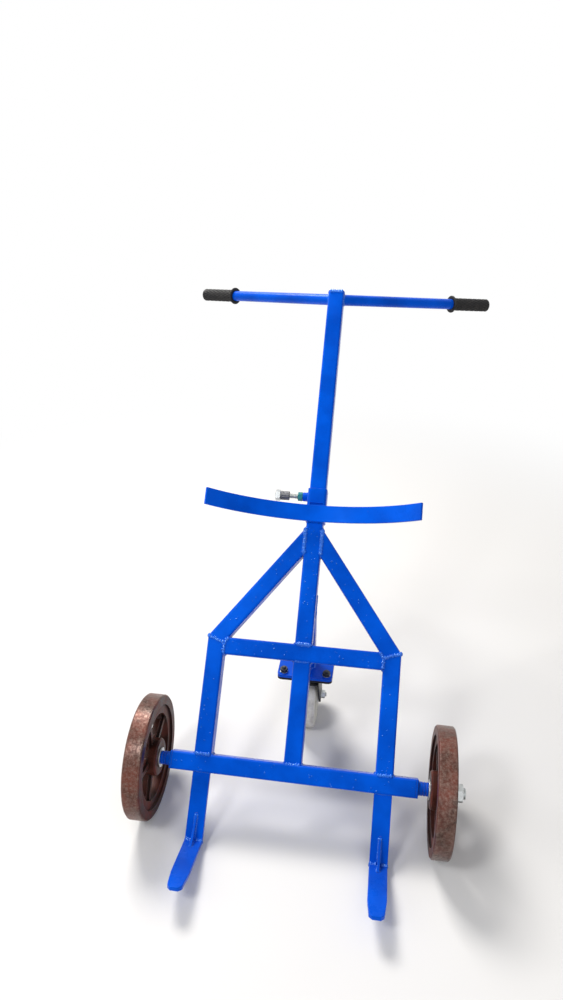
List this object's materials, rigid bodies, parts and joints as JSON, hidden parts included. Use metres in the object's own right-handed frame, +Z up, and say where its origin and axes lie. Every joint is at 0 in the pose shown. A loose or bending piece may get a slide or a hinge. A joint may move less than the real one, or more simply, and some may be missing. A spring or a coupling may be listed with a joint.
{
  "type": "drum hand trolley",
  "caption": "Welded square-tube drum trolley with T-shaped V handle, cast wheels, toe plates, sliding curved saddle with clamp screw and rear swivel caster.",
  "frame": {"origin": "on the floor, under the middle of the footprint", "axes": "+X to the right seen from the toes, +Y to the rear where the handle is, +Z up; the frame leans on its caster"},
  "size_m": [0.83, 1.304, 1.0377],
  "materials": {
    "frame_paint": "gloss",
    "grip_rubber": "matt",
    "wheel_oxide": "worn",
    "bush_bronze": "satin",
    "zinc_steel": "satin",
    "nut_teal": "satin",
    "knob_grey": "satin",
    "dark_steel": "satin",
    "caster_black": "satin",
    "caster_nylon": "matt"
  },
  "bodies": {
    "frame": {"mast": "frame_paint", "mast_cap": "frame_paint", "handle_arm_left": "frame_paint", "handle_arm_right": "frame_paint", "grip_left": "grip_rubber", "grip_right": "grip_rubber", "brace_left": "frame_paint", "brace_right": "frame_paint", "side_post_left": "frame_paint", "side_post_right": "frame_paint", "upper_crossbar": "frame_paint", "lower_center_post": "frame_paint", "axle_bar": "frame_paint", "axle_end_plates": "frame_paint", "axle_stub_left": "frame_paint", "axle_stub_right": "frame_paint", "toe_shank_left": "frame_paint", "toe_shank_right": "frame_paint", "toe_plate_left": "frame_paint", "toe_plate_right": "frame_paint", "toe_gusset_left": "frame_paint", "toe_gusset_right": "frame_paint", "toe_stay_left": "frame_paint", "toe_stay_right": "frame_paint", "inner_washers": "zinc_steel", "outer_washers": "zinc_steel", "axle_nuts": "zinc_steel", "caster_arm": "frame_paint", "caster_arm_stay": "frame_paint", "caster_mount_plate": "frame_paint", "caster_bolts": "dark_steel", "caster_nuts": "dark_steel", "caster_bolt_washers": "zinc_steel", "caster_top_plate": "caster_black", "caster_kingpin": "zinc_steel", "caster_swivel_balls": "zinc_steel"},
    "wheel_left": {"wheel_left": "wheel_oxide", "hub_bush_left": "bush_bronze"},
    "wheel_right": {"wheel_right": "wheel_oxide", "hub_bush_right": "bush_bronze"},
    "saddle": {"saddle_collar": "frame_paint", "saddle_block": "frame_paint", "saddle_bar": "frame_paint", "clamp_boss": "frame_paint"},
    "clamp_screw": {"clamp_screw": "zinc_steel", "clamp_lock_nut": "nut_teal", "clamp_knob": "knob_grey", "clamp_knob_nut": "zinc_steel"},
    "caster_fork": {"caster_fork": "caster_black", "caster_axle_bolt": "zinc_steel", "caster_axle_nut": "zinc_steel", "caster_axle_sleeve": "zinc_steel"},
    "caster_wheel": {"caster_wheel": "caster_nylon", "caster_wheel_bush": "bush_bronze"}
  },
  "joints": [
    {"name": "wheel_left_spin", "type": "hinge", "parent": "frame", "child": "wheel_left", "pos_m": [-0.3333, -0.38397, 0.14], "axis": [1, 0, 0], "continuous": true},
    {"name": "wheel_right_spin", "type": "hinge", "parent": "frame", "child": "wheel_right", "pos_m": [0.3333, -0.38397, 0.14], "axis": [1, 0, 0], "continuous": true},
    {"name": "saddle_slide", "type": "slide", "parent": "frame", "child": "saddle", "axis": [0, 0.6691, 0.7431], "range_m": [0, 0.3]},
    {"name": "clamp_turn", "type": "hinge", "parent": "saddle", "child": "clamp_screw", "pos_m": [-0.03, 0.04528, 0.61673], "axis": [-1, 0, 0], "range_deg": [0, 570]},
    {"name": "caster_swivel", "type": "hinge", "parent": "frame", "child": "caster_fork", "pos_m": [0, -0.11618, 0.2], "axis": [0, 0, 1], "continuous": true},
    {"name": "caster_wheel_spin", "type": "hinge", "parent": "caster_fork", "child": "caster_wheel", "pos_m": [0, -0.06618, 0.088], "axis": [1, 0, 0], "continuous": true}
  ]
}
